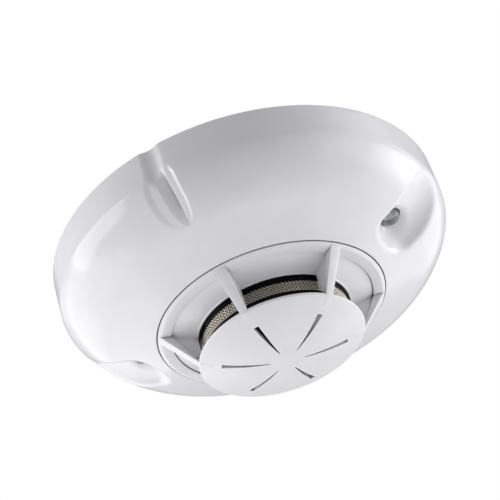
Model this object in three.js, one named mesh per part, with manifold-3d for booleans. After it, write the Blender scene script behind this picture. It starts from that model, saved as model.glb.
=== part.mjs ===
// Ceiling fire detector: twist-lock base, domed head with sensing chamber, and removable cage.
// Millimetres, +Z up. The origin is the centre of the face that lies against the ceiling, so the
// whole detector hangs below z = 0. Heights are given as "drop", the distance below the ceiling.
// The indicator recesses face +X and -X, and the narrow grip grooves face +Y and -Y.

import * as THREE from 'three';
import { mergeVertices } from 'three/addons/utils/BufferGeometryUtils.js';
import Module from 'manifold-3d';

const wasm = await Module();
wasm.setup();

// ---------------------------------------------------------------- driving dimensions

const GAP = 0.3;                       // clearance between pieces that rest on each other

// domed cover
const RIM_RADIUS = 49.87;              // outside of the skirt at its rim
const RIM_DROP = 0.4;                  // the rim stands just off the ceiling
const SKIRT_RADIUS = 49.97;            // outside of the skirt where the shoulder begins
const SHOULDER_DROP = 9;
const CONE_RADIUS = 40.2;              // where the shoulder has turned into the shallow cone
const CONE_DROP = 20;
const NECK_RADIUS = 29.2;              // the opening that holds the cage
const NECK_DROP = 24.5;
const WALL = 2;                        // wall thickness of the cover
const NECK_WALL = 1.4;
const NECK_TOP_DROP = 17;
const COVER_FACETS = 72;

// scooped indicator recess: a round-nosed trough, swept outwards and upwards
const SCOOP_RADIUS = 8.1;
const SCOOP_NOSE_RADIUS = 39.6;        // where the centre of the round nose lies
const SCOOP_NOSE_DROP = 22.9;
const SCOOP_TILT = THREE.MathUtils.degToRad(22.4);
const SCOOP_SKIN = 1.6;                // wall thickness under the trough
const SCOOP_AZIMUTHS = [-1.5, 178.5];  // the recesses are opposite each other, just off the X axis

// narrow grip groove: a shallow round channel up the skirt, then a lopsided V down the shoulder
const CHANNEL_RADIUS = 4.5;
const CHANNEL_VALLEY = 49.2;           // distance of the channel's valley from the axis
const CHANNEL_OFFSET = -0.4;           // sideways from the radial plane
const GROOVE_TOP_DROP = 7;             // where the V's valley line leaves the skirt
const GROOVE_TIP_RADIUS = 41.2;
const GROOVE_TIP_DROP = 19.5;
const GROOVE_OFFSET = 1.1;
const GENTLE_SLOPE = 0.37;             // rise of the V's wide side
const STEEP_SLOPE = 0.82;              // rise of its narrow side
const GROOVE_SKIN = 1.1;               // wall thickness under the groove

// base and head chassis
const BASE_RADIUS = 46.6;
const BASE_DEPTH = 6;
const FLOOR = 1.8;
const CABLE_RADIUS = 15;
const CHASSIS_RADIUS = 46.9;
const CHASSIS_TOP_DROP = 6.4;
const CHASSIS_DROP = 8.2;
const LUG_COUNT = 3;
const LEDGE_INNER_RADIUS = 42.3;
const RIM_INNER_RADIUS = 44.8;

// terminals, on a circle round the cable opening
const TERMINAL_COUNT = 4;
const TERMINAL_RADIUS = 30;
const TERMINAL_START = 43;             // azimuth of the first head contact, in degrees
const SCREW_OFFSET = 20;               // from a head contact to the screw beside it, in degrees
const FIXING_AZIMUTH = 90;             // first of the two slots for the ceiling screws
const FIXING_WIDTH = 5.2;

// circuit board and indicators
const BOARD_RADIUS = 31;
const BOARD_TOP_DROP = 8.6;
const BOARD_DROP = 10.2;
const LED_RADIUS = 2.5;
const LED_POSITION = 36.6;
const LED_TIP_DROP = 17.9;
const COVER_SCREW_RADIUS = 36;

// sensing chamber
const CHAMBER_RADIUS = 17.6;
const CHAMBER_CUP_DROP = 20;
const VANE_COUNT = 12;
const LID_TOP_DROP = 31.9;
const LID_DROP = 32.9;
const THERMISTOR_RADIUS = 13;

// cage, inner dish and mesh
const COLLAR_RADIUS = 28.75;
const GROOVE_RING_RADIUS = 25.6;       // the circle where the collar meets the inner dish
const GROOVE_RING_DROP = 25.25;
const DISH_INNER_RADIUS = 19.3;
const DISH_INNER_DROP = 26.5;
const DISC_RADIUS = 21.04;
const DISC_EDGE_DROP = 33.5;
const DISC_DROP = 38.1;                // the lowest point of the detector
const DISC_THICKNESS = 1.2;
const RIB_COUNT = 6;
const RIB_START = 30;                  // azimuth of the first rib, in degrees
const RIB_WIDTH_AT_LIP = 2.9;
const RIB_WIDTH_AT_DISC = 2;
const SLOT_INNER_RADIUS = 4.3;
const SLOT_OUTER_RADIUS = 15.9;
const SLOT_WIDTH = 1.45;
const MESH_RADIUS = 18.8;
const MESH_WALL = 0.3;
const MESH_TOP_DROP = 28.2;
const MESH_DROP = 30.8;

// ---------------------------------------------------------------- materials

const WHITE = material(0xdcdce2, 0.42);
const CAGE_WHITE = material(0xdfdfe4, 0.45);
const BASE_WHITE = material(0xd6d6da, 0.5);
const BLACK = material(0x0d0d10, 0.25);
const CHAMBER_BLACK = material(0x17171a, 0.7);
const BOARD_GREEN = material(0x1f5a37, 0.5);
const STEEL = material(0x9c968c, 0.35, 1);
const BRASS = material(0xb7995a, 0.35, 1);
const CLEAR = material(0x9aa09a, 0.08);

function material(colour, roughness, metalness = 0) {
  return new THREE.MeshStandardMaterial({ color: colour, roughness, metalness });
}

// ---------------------------------------------------------------- geometry helpers

const radians = THREE.MathUtils.degToRad;

// Makes a closed solid from a three.js geometry, facing out, for joining and cutting.
function solidOf(geometry) {
  const bare = new THREE.BufferGeometry();
  bare.setAttribute('position', geometry.getAttribute('position').clone());
  bare.setIndex(geometry.getIndex());
  const merged = mergeVertices(bare, 1e-4);
  const position = merged.getAttribute('position').array;
  const index = merged.getIndex().array;
  const triangles = [];
  for (let i = 0; i < index.length; i += 3) {
    const [a, b, c] = [index[i], index[i + 1], index[i + 2]];
    if (a !== b && b !== c && c !== a) triangles.push(a, b, c);
  }
  if (signedVolume(position, triangles) < 0) triangles.reverse();
  const mesh = new wasm.Mesh({
    numProp: 3,
    vertProperties: new Float32Array(position),
    triVerts: new Uint32Array(triangles),
  });
  return new wasm.Manifold(mesh);
}

function signedVolume(position, triangles) {
  const a = new THREE.Vector3();
  const b = new THREE.Vector3();
  const c = new THREE.Vector3();
  let volume = 0;
  for (let i = 0; i < triangles.length; i += 3) {
    a.fromArray(position, triangles[i] * 3);
    b.fromArray(position, triangles[i + 1] * 3);
    c.fromArray(position, triangles[i + 2] * 3);
    volume += a.dot(b.cross(c)) / 6;
  }
  return volume;
}

function geometryOf(solid) {
  const mesh = solid.getMesh();
  const indexed = new THREE.BufferGeometry();
  indexed.setAttribute('position', new THREE.BufferAttribute(new Float32Array(mesh.vertProperties), 3));
  indexed.setIndex(new THREE.BufferAttribute(new Uint32Array(mesh.triVerts), 1));
  const flat = indexed.toNonIndexed();
  flat.computeVertexNormals();
  return flat;
}

// Turns [radius, drop] points about Z. The outline starts and ends on the axis, or is closed here.
function turned(outline, segments) {
  const points = outline.map(([radius, drop]) => new THREE.Vector2(radius, -drop));
  const onAxis = points[0].x === 0 && points[points.length - 1].x === 0;
  if (!onAxis) points.push(points[0].clone());
  return solidOf(new THREE.LatheGeometry(points, segments).rotateX(Math.PI / 2));
}

function ring(inner, outer, topDrop, bottomDrop, segments) {
  return turned([[inner, topDrop], [outer, topDrop], [outer, bottomDrop], [inner, bottomDrop]], segments);
}

function disc(radius, topDrop, bottomDrop, segments) {
  return turned([[0, topDrop], [radius, topDrop], [radius, bottomDrop], [0, bottomDrop]], segments);
}

// Extrudes a plan outline, in x and y, between two drops.
function plate(shape, topDrop, bottomDrop, curveSegments = 6) {
  const options = { depth: bottomDrop - topDrop, bevelEnabled: false, curveSegments };
  return solidOf(new THREE.ExtrudeGeometry(shape, options).translate(0, 0, -bottomDrop));
}

// A stretch of a flat ring, centred on an azimuth in degrees.
function sector(inner, outer, azimuth, halfAngle, topDrop, bottomDrop, curveSegments = 4) {
  const from = radians(azimuth - halfAngle);
  const to = radians(azimuth + halfAngle);
  const shape = new THREE.Shape();
  shape.absarc(0, 0, outer, from, to, false);
  shape.absarc(0, 0, inner, to, from, true);
  shape.closePath();
  return plate(shape, topDrop, bottomDrop, curveSegments);
}

function rectangle(x, y, length, width) {
  const shape = new THREE.Shape();
  shape.moveTo(x - length / 2, y - width / 2);
  shape.lineTo(x + length / 2, y - width / 2);
  shape.lineTo(x + length / 2, y + width / 2);
  shape.lineTo(x - length / 2, y + width / 2);
  return shape;
}

// An outline in [radius, drop], extruded across the +X radial plane, centred on it.
function radialPlate(outline, thickness) {
  const shape = new THREE.Shape(outline.map(([radius, drop]) => new THREE.Vector2(radius, -drop)));
  const geometry = new THREE.ExtrudeGeometry(shape, { depth: thickness, bevelEnabled: false });
  return geometry.translate(0, 0, -thickness / 2).rotateX(Math.PI / 2);
}

// A round bar between two drops at (x, y).
function post(radius, x, y, topDrop, bottomDrop, segments = 16) {
  return disc(radius, topDrop, bottomDrop, segments).translate([x, y, 0]);
}

function polar(radius, azimuth) {
  return [radius * Math.cos(radians(azimuth)), radius * Math.sin(radians(azimuth))];
}

function turnedTo(solid, azimuth) {
  return solid.rotate([0, 0, azimuth]);
}

function azimuths(count, start) {
  return Array.from({ length: count }, (_, i) => start + (360 / count) * i);
}

function join(solids) {
  return solids.reduce((sum, solid) => sum.add(solid));
}

function cut(solid, tools) {
  return tools.reduce((rest, tool) => rest.subtract(tool), solid);
}

// ---------------------------------------------------------------- the assembly

const detector = new THREE.Group();

function addPiece(name, solid, finish) {
  const mesh = new THREE.Mesh(geometryOf(solid), finish);
  mesh.name = name;
  detector.add(mesh);
  return mesh;
}

// The same piece at several azimuths, each a mesh of its own, numbered from 1.
function addRound(name, solid, finish, angles) {
  angles.forEach((azimuth, i) => {
    const mesh = addPiece(`${name}_${i + 1}`, solid, finish);
    mesh.rotation.z = radians(azimuth);
  });
}

const terminalAngles = azimuths(TERMINAL_COUNT, TERMINAL_START);
const screwAngles = azimuths(TERMINAL_COUNT, TERMINAL_START + SCREW_OFFSET);
const lugAngles = azimuths(LUG_COUNT, 0);
const ribAngles = azimuths(RIB_COUNT, RIB_START);
const coverScrewAngles = azimuths(4, 45);

// ---------------------------------------------------------------- base

// A round moulding with a rim, three bayonet ledges with stops, and a cable opening.
function basePlate() {
  const floorAndRim = turned([
    [CABLE_RADIUS, 0], [BASE_RADIUS, 0], [BASE_RADIUS, BASE_DEPTH], [RIM_INNER_RADIUS, BASE_DEPTH],
    [RIM_INNER_RADIUS, FLOOR], [CABLE_RADIUS + 1.4, FLOOR], [CABLE_RADIUS + 1.4, 4], [CABLE_RADIUS, 4],
  ], 56);
  const ledge = sector(LEDGE_INNER_RADIUS, RIM_INNER_RADIUS + 0.5, 0, 9, 4.4, BASE_DEPTH);
  const stop = sector(LEDGE_INNER_RADIUS, RIM_INNER_RADIUS + 0.5, 9.9, 1.3, 1, BASE_DEPTH, 2);
  const bayonet = ledge.add(stop);
  const body = join([floorAndRim, ...lugAngles.map((azimuth) => turnedTo(bayonet, azimuth))]);
  const screwHole = post(2, TERMINAL_RADIUS, 0, -1, 3, 12);
  const fixingSlot = join([
    post(FIXING_WIDTH / 2, TERMINAL_RADIUS - 3, 0, -1, 3, 16),
    post(FIXING_WIDTH / 2, TERMINAL_RADIUS + 3, 0, -1, 3, 16),
    plate(rectangle(TERMINAL_RADIUS, 0, 6, FIXING_WIDTH), -1, 3),
  ]);
  return cut(body, [
    ...screwAngles.map((azimuth) => turnedTo(screwHole, azimuth)),
    turnedTo(fixingSlot, FIXING_AZIMUTH),
    turnedTo(fixingSlot, FIXING_AZIMUTH + 180),
  ]);
}

// A brass strip: one end lies under the head's contact, the other under the terminal screw.
function baseContact() {
  const middle = (SCREW_OFFSET + 2) / 2;
  const strip = sector(TERMINAL_RADIUS - 3.5, TERMINAL_RADIUS + 3.5, middle, 17, 2.1, 2.9, 6);
  const [x, y] = polar(TERMINAL_RADIUS, SCREW_OFFSET);
  return strip.subtract(post(1.9, x, y, 1, 4, 12));
}

function clampPlate() {
  const square = plate(rectangle(TERMINAL_RADIUS, 0, 7, 7), 3.2, 4);
  return square.subtract(post(1.9, TERMINAL_RADIUS, 0, 2, 5, 12));
}

function terminalScrew() {
  const shank = post(1.6, TERMINAL_RADIUS, 0, 0.7, 5, 12);
  const head = post(3, TERMINAL_RADIUS, 0, 4.3, 5.9, 20);
  const slot = plate(rectangle(TERMINAL_RADIUS, 0, 7, 0.8), 5.1, 7);
  return shank.add(head).subtract(slot);
}

addPiece('base_plate', basePlate(), BASE_WHITE);
addRound('base_contact', baseContact(), BRASS, terminalAngles);
addRound('clamp_plate', clampPlate(), BRASS, screwAngles);
addRound('terminal_screw', terminalScrew(), STEEL, screwAngles);

// ---------------------------------------------------------------- domed cover

// The cover's outside in the radial plane, from the rim to the neck, as [radius, drop].
function coverOutside() {
  const path = new THREE.Path();
  path.moveTo(RIM_RADIUS, RIM_DROP);
  path.lineTo(SKIRT_RADIUS, SHOULDER_DROP);
  path.bezierCurveTo(SKIRT_RADIUS, 11.8, 45.4, 17.9, CONE_RADIUS, CONE_DROP);
  path.lineTo(NECK_RADIUS, NECK_DROP);
  return path.getPoints(8).map((point) => [point.x, point.y]);
}

// The same line one wall thickness further in, ending at the neck tube.
function coverInside() {
  const path = new THREE.Path();
  path.moveTo(RIM_RADIUS - WALL, RIM_DROP - 1);
  path.lineTo(SKIRT_RADIUS - WALL, SHOULDER_DROP);
  path.bezierCurveTo(SKIRT_RADIUS - WALL, 11.2, 44.3, 16.2, CONE_RADIUS - 0.8, CONE_DROP - 1.85);
  path.lineTo(NECK_RADIUS + NECK_WALL, 22);
  return path.getPoints(5).map((point) => [point.x, point.y]);
}

// A round-nosed bar lying along the recess on the +X side, sloping up and outwards.
function scoop(radius) {
  const length = 24;
  const bar = new THREE.CapsuleGeometry(radius, length, 5, 22).rotateZ(-Math.PI / 2);
  bar.translate(length / 2, 0, 0).rotateY(-SCOOP_TILT);
  return solidOf(bar.translate(SCOOP_NOSE_RADIUS, 0, -SCOOP_NOSE_DROP));
}

// A long lopsided wedge with its edge along z through x = 0, opening towards +X.
function wedge(inset, bottom, top) {
  const reach = 6;
  const shape = new THREE.Shape();
  shape.moveTo(-inset, 0);
  shape.lineTo(reach, -(reach + inset) / GENTLE_SLOPE);
  shape.lineTo(reach, (reach + inset) / STEEP_SLOPE);
  const geometry = new THREE.ExtrudeGeometry(shape, { depth: top - bottom, bevelEnabled: false });
  return geometry.translate(0, 0, bottom);
}

// The grip groove on the +X side: a round bar up the skirt, and a wedge down the shoulder.
function gripGroove(inset) {
  const run = SKIRT_RADIUS - GROOVE_TIP_RADIUS;
  const fall = GROOVE_TIP_DROP - GROOVE_TOP_DROP;
  const slanted = wedge(inset, -4, Math.hypot(run, fall) + 6).rotateY(Math.atan2(run, fall));
  slanted.translate(GROOVE_TIP_RADIUS, GROOVE_OFFSET, -GROOVE_TIP_DROP);
  const barRadius = CHANNEL_RADIUS + inset;
  const bar = post(barRadius, CHANNEL_VALLEY + CHANNEL_RADIUS, CHANNEL_OFFSET, -2, 16, 24);
  return solidOf(slanted).add(bar);
}

// A turned shell. Each recess and groove is backed by a skin on the inside before it is cut.
function coverShell() {
  const solid = turned([[0, RIM_DROP], ...coverOutside(), [0, NECK_DROP]], COVER_FACETS);
  const hollow = turned([[0, RIM_DROP - 1], ...coverInside(), [0, 22]], COVER_FACETS);
  const neck = ring(NECK_RADIUS - 1, NECK_RADIUS + NECK_WALL, NECK_TOP_DROP, 23.5, COVER_FACETS);
  const bore = disc(NECK_RADIUS, NECK_TOP_DROP - 1, NECK_DROP + 1, COVER_FACETS);
  const skins = [
    ...SCOOP_AZIMUTHS.map((azimuth) => turnedTo(scoop(SCOOP_RADIUS + SCOOP_SKIN), azimuth)),
    ...[90, 270].map((azimuth) => turnedTo(gripGroove(GROOVE_SKIN), azimuth)),
  ];
  const backed = join([solid.subtract(hollow), neck, ...skins.map((skin) => skin.intersect(solid))]);
  return cut(backed, [
    bore,
    ...SCOOP_AZIMUTHS.map((azimuth) => turnedTo(scoop(SCOOP_RADIUS), azimuth)),
    ...[90, 270].map((azimuth) => turnedTo(gripGroove(0), azimuth)),
  ]);
}

function domeCover() {
  const lip = sector(NECK_RADIUS - 1.3, NECK_RADIUS + 0.5, 0, 8, NECK_TOP_DROP, NECK_TOP_DROP + 1.2);
  const boss = post(2.8, COVER_SCREW_RADIUS, 0, CHASSIS_DROP + GAP, 20.4, 14);
  const pilot = post(1.6, COVER_SCREW_RADIUS, 0, CHASSIS_DROP - 1, 17, 10);
  const ledHole = post(LED_RADIUS + GAP, LED_POSITION, 0, 10, 20, 20);
  const shell = join([
    coverShell(),
    ...lugAngles.map((azimuth) => turnedTo(lip, azimuth)),
    ...coverScrewAngles.map((azimuth) => turnedTo(boss, azimuth)),
  ]);
  return cut(shell, [
    ...coverScrewAngles.map((azimuth) => turnedTo(pilot, azimuth)),
    ...SCOOP_AZIMUTHS.map((azimuth) => turnedTo(ledHole, azimuth)),
  ]);
}

addPiece('dome_cover', domeCover(), WHITE);

// ---------------------------------------------------------------- head chassis

// The head's back plate: it closes the cover and carries the bayonet lugs.
function headChassis() {
  const back = disc(CHASSIS_RADIUS, CHASSIS_TOP_DROP, CHASSIS_DROP, 56);
  const wall = ring(40.4, LEDGE_INNER_RADIUS - GAP, 2.4, CHASSIS_TOP_DROP + 0.5, 48);
  const lug = sector(41.6, RIM_INNER_RADIUS - GAP, 0, 8, 2.4, 4.1);
  const contactSlot = plate(rectangle(28.1, 0, 1.2, 5.6), 5, 9);
  const screwSeat = turned([
    [0, 5], [2.9, 5], [2.9, CHASSIS_TOP_DROP], [1.6, 7.7], [1.6, 9], [0, 9],
  ], 16).translate([COVER_SCREW_RADIUS, 0, 0]);
  return cut(join([back, wall, ...lugAngles.map((azimuth) => turnedTo(lug, azimuth))]), [
    ...terminalAngles.map((azimuth) => turnedTo(contactSlot, azimuth)),
    ...coverScrewAngles.map((azimuth) => turnedTo(screwSeat, azimuth)),
  ]);
}

// A bent brass blade: its foot rides on the base contact, its leg passes through the chassis.
function headContact() {
  const outline = [[27.8, 3.2], [32.2, 3.2], [32.2, 3.8], [28.4, 3.8], [28.4, 8.3], [27.8, 8.3]];
  return solidOf(radialPlate(outline, 5));
}

function coverScrew() {
  const outline = [[0, CHASSIS_TOP_DROP], [2.6, CHASSIS_TOP_DROP], [1.3, 7.7], [1.3, 15.5], [0, 16.5]];
  const slot = plate(rectangle(COVER_SCREW_RADIUS, 0, 6, 0.7), 5, 7);
  return turned(outline, 16).translate([COVER_SCREW_RADIUS, 0, 0]).subtract(slot);
}

addPiece('head_chassis', headChassis(), BASE_WHITE);
addRound('head_contact', headContact(), BRASS, terminalAngles);
addRound('cover_screw', coverScrew(), STEEL, coverScrewAngles);

// ---------------------------------------------------------------- circuit board

// A round board with a tongue reaching out to each indicator.
function circuitBoard() {
  const board = disc(BOARD_RADIUS, BOARD_TOP_DROP, BOARD_DROP, 36);
  const tongues = plate(rectangle(0, 0, 2 * 40.5, 9), BOARD_TOP_DROP, BOARD_DROP);
  return board.add(tongues);
}

function chip(radius, azimuth, length, width, height) {
  const top = BOARD_DROP + GAP;
  return turnedTo(plate(rectangle(radius, 0, length, width), top, top + height), azimuth);
}

function capacitor(azimuth) {
  const top = BOARD_DROP + GAP;
  const can = turned([[0, top], [2.5, top], [2.5, top + 4.2], [2.2, top + 4.5], [0, top + 4.5]], 16);
  return turnedTo(can.translate([25, 0, 0]), azimuth);
}

// A clear 5 mm lamp with a flange, hanging through the cover into its recess.
function indicatorLed() {
  const top = BOARD_DROP + GAP;
  const shoulder = LED_TIP_DROP - LED_RADIUS;
  const flange = LED_RADIUS + 0.4;
  const outline = [[0, top], [flange, top], [flange, top + 1], [LED_RADIUS, top + 1]];
  for (let step = 0; step <= 4; step += 1) {
    const lift = (Math.PI / 2) * (step / 4);
    const radius = step === 4 ? 0 : LED_RADIUS * Math.cos(lift);
    outline.push([radius, shoulder + LED_RADIUS * Math.sin(lift)]);
  }
  return turned(outline, 16).translate([LED_POSITION, 0, 0]);
}

addPiece('circuit_board', circuitBoard(), BOARD_GREEN);
addPiece('microcontroller', chip(24.5, 60, 7, 7, 1.2), BLACK);
addPiece('bridge_rectifier', chip(24.5, 225, 5, 6, 2.2), BLACK);
addPiece('alarm_transistor', chip(24.5, 260, 3, 4.6, 1.5), BLACK);
addPiece('capacitor_1', capacitor(110), STEEL);
addPiece('capacitor_2', capacitor(140), STEEL);
addRound('indicator_led', indicatorLed(), CLEAR, SCOOP_AZIMUTHS);

// ---------------------------------------------------------------- sensing chamber

// A black cup under the board. Two wells in its floor block hold the emitter and the photodiode.
function chamberBase() {
  const inner = CHAMBER_RADIUS - 1.4;
  const cup = turned([
    [0, BOARD_DROP + 0.4], [CHAMBER_RADIUS, BOARD_DROP + 0.4], [CHAMBER_RADIUS, CHAMBER_CUP_DROP],
    [inner, CHAMBER_CUP_DROP], [inner, 16], [0, 16],
  ], 32);
  return cut(cup, opticAngles.map((azimuth) => turnedTo(opticShape(2.3, 6.5), azimuth)));
}

const opticAngles = [0, 130];

// A short round bar, leaning in from its well towards the middle of the chamber.
function opticShape(radius, reach) {
  const lean = radians(35);
  const bar = new THREE.CylinderGeometry(radius, radius, reach, 14).rotateX(Math.PI / 2);
  bar.rotateY(-lean);
  return solidOf(bar.translate(9.5, 0, -16));
}

// Bent vanes on a ring: air passes between them, and light doesn't.
function labyrinth() {
  const carrier = ring(10.8, CHAMBER_RADIUS - 0.2, CHAMBER_CUP_DROP + GAP, CHAMBER_CUP_DROP + 1.5, 32);
  const vane = new THREE.Shape();
  vane.moveTo(11.2, -1.1);
  vane.lineTo(12, -1.5);
  vane.lineTo(14.3, 0.7);
  vane.lineTo(17, -1.3);
  vane.lineTo(17.1, -0.4);
  vane.lineTo(14.3, 1.8);
  const blade = plate(vane, CHAMBER_CUP_DROP + 1, LID_TOP_DROP - GAP);
  const blades = azimuths(VANE_COUNT, 15).map((azimuth) => turnedTo(blade, azimuth));
  const sleeveHole = post(1.9, THERMISTOR_RADIUS, 0, 20, 23, 12);
  return join([carrier, ...blades]).subtract(sleeveHole);
}

function chamberLid() {
  const lid = disc(CHAMBER_RADIUS - 0.2, LID_TOP_DROP, LID_DROP, 32);
  return lid.subtract(post(1.6, THERMISTOR_RADIUS, 0, 31, 34, 12));
}

// The heat sensor: a glass bead below the lid on two leads.
function thermistor() {
  const bead = solidOf(new THREE.SphereGeometry(0.8, 10, 6).translate(THERMISTOR_RADIUS, 0, -33.9));
  const leads = [-0.45, 0.45].map((y) => post(0.25, THERMISTOR_RADIUS, y, 16.3, 33.8, 6));
  return join([bead, ...leads]);
}

function thermistorSleeve() {
  const tube = ring(1.05, 1.45, CHAMBER_CUP_DROP - 1, LID_DROP, 12);
  return tube.translate([THERMISTOR_RADIUS, 0, 0]);
}

addPiece('chamber_base', chamberBase(), CHAMBER_BLACK);
addPiece('infrared_emitter', turnedTo(opticShape(1.9, 5), opticAngles[0]), CLEAR);
addPiece('photodiode', turnedTo(opticShape(1.9, 5), opticAngles[1]), BLACK);
addPiece('labyrinth', labyrinth(), CHAMBER_BLACK);
addPiece('chamber_lid', chamberLid(), CHAMBER_BLACK);
addPiece('thermistor_sleeve', thermistorSleeve(), CHAMBER_BLACK);
addPiece('thermistor', thermistor(), STEEL);

// ---------------------------------------------------------------- mesh and its frame

// Two stepped rings above the mesh and a thin one below, joined by six bars inside it.
function meshFrame() {
  const inner = CHAMBER_RADIUS + GAP;
  const meshInner = MESH_RADIUS - MESH_WALL;
  const stepped = turned([
    [inner, 24], [19.05, 24], [19.05, 26.7], [MESH_RADIUS, 26.9],
    [MESH_RADIUS, MESH_TOP_DROP - GAP], [inner, MESH_TOP_DROP - GAP],
  ], 40);
  const thin = ring(inner, MESH_RADIUS, MESH_DROP + GAP, 32.7, 40);
  const bar = sector(inner, meshInner - 0.2, 0, 3, 27.5, 32.5, 1);
  return join([stepped, thin, ...ribAngles.map((azimuth) => turnedTo(bar, azimuth))]);
}

addPiece('mesh_frame', meshFrame(), BLACK);
const insectMesh = ring(MESH_RADIUS - MESH_WALL, MESH_RADIUS, MESH_TOP_DROP, MESH_DROP, 40);
addPiece('insect_mesh', insectMesh, STEEL);

// ---------------------------------------------------------------- inner dish

// The ring between the mesh frame and the cage's collar, with a fin behind each rib.
function innerDish() {
  const rim = GROOVE_RING_RADIUS - 0.2;
  const body = turned([
    [DISH_INNER_RADIUS, 16], [DISH_INNER_RADIUS, DISH_INNER_DROP - 0.2],
    [DISH_INNER_RADIUS + 0.3, DISH_INNER_DROP], [rim - 0.2, GROOVE_RING_DROP], [rim, 25],
    [rim, 19], [rim - 1.2, 19], [rim - 1.2, 23.7], [DISH_INNER_RADIUS + 1.3, 24.7],
    [DISH_INNER_RADIUS + 1.3, 16],
  ], 44);
  const fin = solidOf(radialPlate([[19.6, 26], [24.9, 24.9], [20.75, 32.4], [19.6, 32]], 1.8));
  return join([body, ...ribAngles.map((azimuth) => turnedTo(fin, azimuth))]);
}

addPiece('inner_dish', innerDish(), WHITE);

// ---------------------------------------------------------------- protective cage

// The convex disc, pierced by six tapered slots in line with the ribs.
function slottedDisc() {
  const depth = DISC_DROP - DISC_EDGE_DROP;
  const sphere = (DISC_RADIUS ** 2 + depth ** 2) / (2 * depth);
  const dropAt = (radius) => DISC_DROP - sphere + Math.sqrt(sphere * sphere - radius * radius);
  const radii = [0, 7, 14, 19.2];
  const below = radii.map((radius) => [radius, dropAt(radius) + 0.45 * (radius / 20) ** 2]);
  const edge = [[20.5, 34.05], [DISC_RADIUS, 33.5], [20.95, 32.95], [20.4, 32.7]];
  const above = [18, 10, 0].map((radius) => [radius, dropAt(radius) - DISC_THICKNESS + 0.1]);
  const body = turned([...below, ...edge, ...above], 48);
  const slot = new THREE.Shape();
  slot.moveTo(SLOT_INNER_RADIUS, -0.1);
  slot.lineTo(SLOT_OUTER_RADIUS, -SLOT_WIDTH / 2);
  slot.lineTo(SLOT_OUTER_RADIUS, SLOT_WIDTH / 2);
  slot.lineTo(SLOT_INNER_RADIUS, 0.1);
  const cutter = plate(slot, 32, 40);
  return cut(body, ribAngles.map((azimuth) => turnedTo(cutter, azimuth)));
}

// A straight rib from the collar's lip to the disc, narrowing on the way and running onto it.
function cageRib() {
  const outline = [
    [28.5, 24.5], [25.9, 24.8], [21.3, 32.8], [18.8, 34.3], [18.6, 35],
    [20.9, 33.95], [21.25, 33.45], [28.65, 24.75],
  ];
  const geometry = radialPlate(outline, RIB_WIDTH_AT_DISC);
  const position = geometry.getAttribute('position');
  const spread = RIB_WIDTH_AT_LIP / RIB_WIDTH_AT_DISC - 1;
  for (let i = 0; i < position.count; i += 1) {
    const along = THREE.MathUtils.clamp((position.getX(i) - DISC_RADIUS) / (28.6 - DISC_RADIUS), 0, 1);
    position.setY(i, position.getY(i) * (1 + spread * along));
  }
  return solidOf(geometry);
}

// The collar: a lipped ring whose skirt reaches up into the neck, with three bayonet hooks.
function collar() {
  const seat = GROOVE_RING_RADIUS + 0.2;
  const body = turned([
    [26.2, 15.3], [27.6, 15.3], [27.6, 22.5], [COLLAR_RADIUS, 22.5], [COLLAR_RADIUS, 24.6],
    [28.1, 25.05], [seat, 25.25], [seat, 23.8], [26.2, 23.4],
  ], 52);
  const hook = sector(27, NECK_RADIUS - GAP, 0, 6, 15.3, 16.7, 3);
  return join([body, ...lugAngles.map((azimuth) => turnedTo(hook, azimuth))]);
}

function protectiveCage() {
  const ribs = ribAngles.map((azimuth) => turnedTo(cageRib(), azimuth));
  return join([collar(), slottedDisc(), ...ribs]);
}

addPiece('protective_cage', protectiveCage(), CAGE_WHITE);

export default detector;
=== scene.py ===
"""A ceiling heat detector seen from below: the fine surfaces and the materials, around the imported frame.

Lengths are millimetres until a mesh is made, which turns them into metres. An outline is a list of
[radius, drop] points in the radial plane. A drop is the depth below the ceiling, so z is -drop.
"""

import math

import bmesh
import bpy
import numpy as np
from mathutils import Matrix, Vector


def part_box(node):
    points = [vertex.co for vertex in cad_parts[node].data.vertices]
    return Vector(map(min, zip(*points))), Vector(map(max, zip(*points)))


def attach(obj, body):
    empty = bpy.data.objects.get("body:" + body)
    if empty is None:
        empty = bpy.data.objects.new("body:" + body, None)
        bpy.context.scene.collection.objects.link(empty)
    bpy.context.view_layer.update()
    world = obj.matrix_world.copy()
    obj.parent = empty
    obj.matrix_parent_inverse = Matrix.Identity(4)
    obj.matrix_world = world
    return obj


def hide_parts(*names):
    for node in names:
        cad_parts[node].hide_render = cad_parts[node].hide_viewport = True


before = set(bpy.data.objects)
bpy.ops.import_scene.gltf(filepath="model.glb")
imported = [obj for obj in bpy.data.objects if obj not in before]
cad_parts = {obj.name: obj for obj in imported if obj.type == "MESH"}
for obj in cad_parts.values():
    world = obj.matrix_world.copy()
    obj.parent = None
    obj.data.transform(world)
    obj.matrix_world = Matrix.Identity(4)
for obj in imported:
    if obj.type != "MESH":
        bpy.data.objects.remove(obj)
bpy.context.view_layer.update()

MM = 0.001


def drop_range(node):
    """The top and bottom drop of a CAD node."""
    low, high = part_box(node)
    return -high.z / MM, -low.z / MM


def reach(node):
    """The largest x of a CAD node: its outer radius, for a round one."""
    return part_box(node)[1].x / MM


# ------------------------------------------------------------------ driving dimensions

SEGMENTS = 240                      # facets round a turned piece

RIM_RADIUS = reach("dome_cover") - 0.1
SKIRT_RADIUS = reach("dome_cover")
RIM_DROP = drop_range("dome_cover")[0]
NECK_DROP = drop_range("dome_cover")[1]
SHOULDER_DROP = 9.0
CONE = (40.2, 20.0)                 # where the shoulder has turned into the shallow cone
NECK_RADIUS = 29.2
NECK_WALL = 1.4
NECK_TOP_DROP = 17.0
WALL = 2.0

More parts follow.
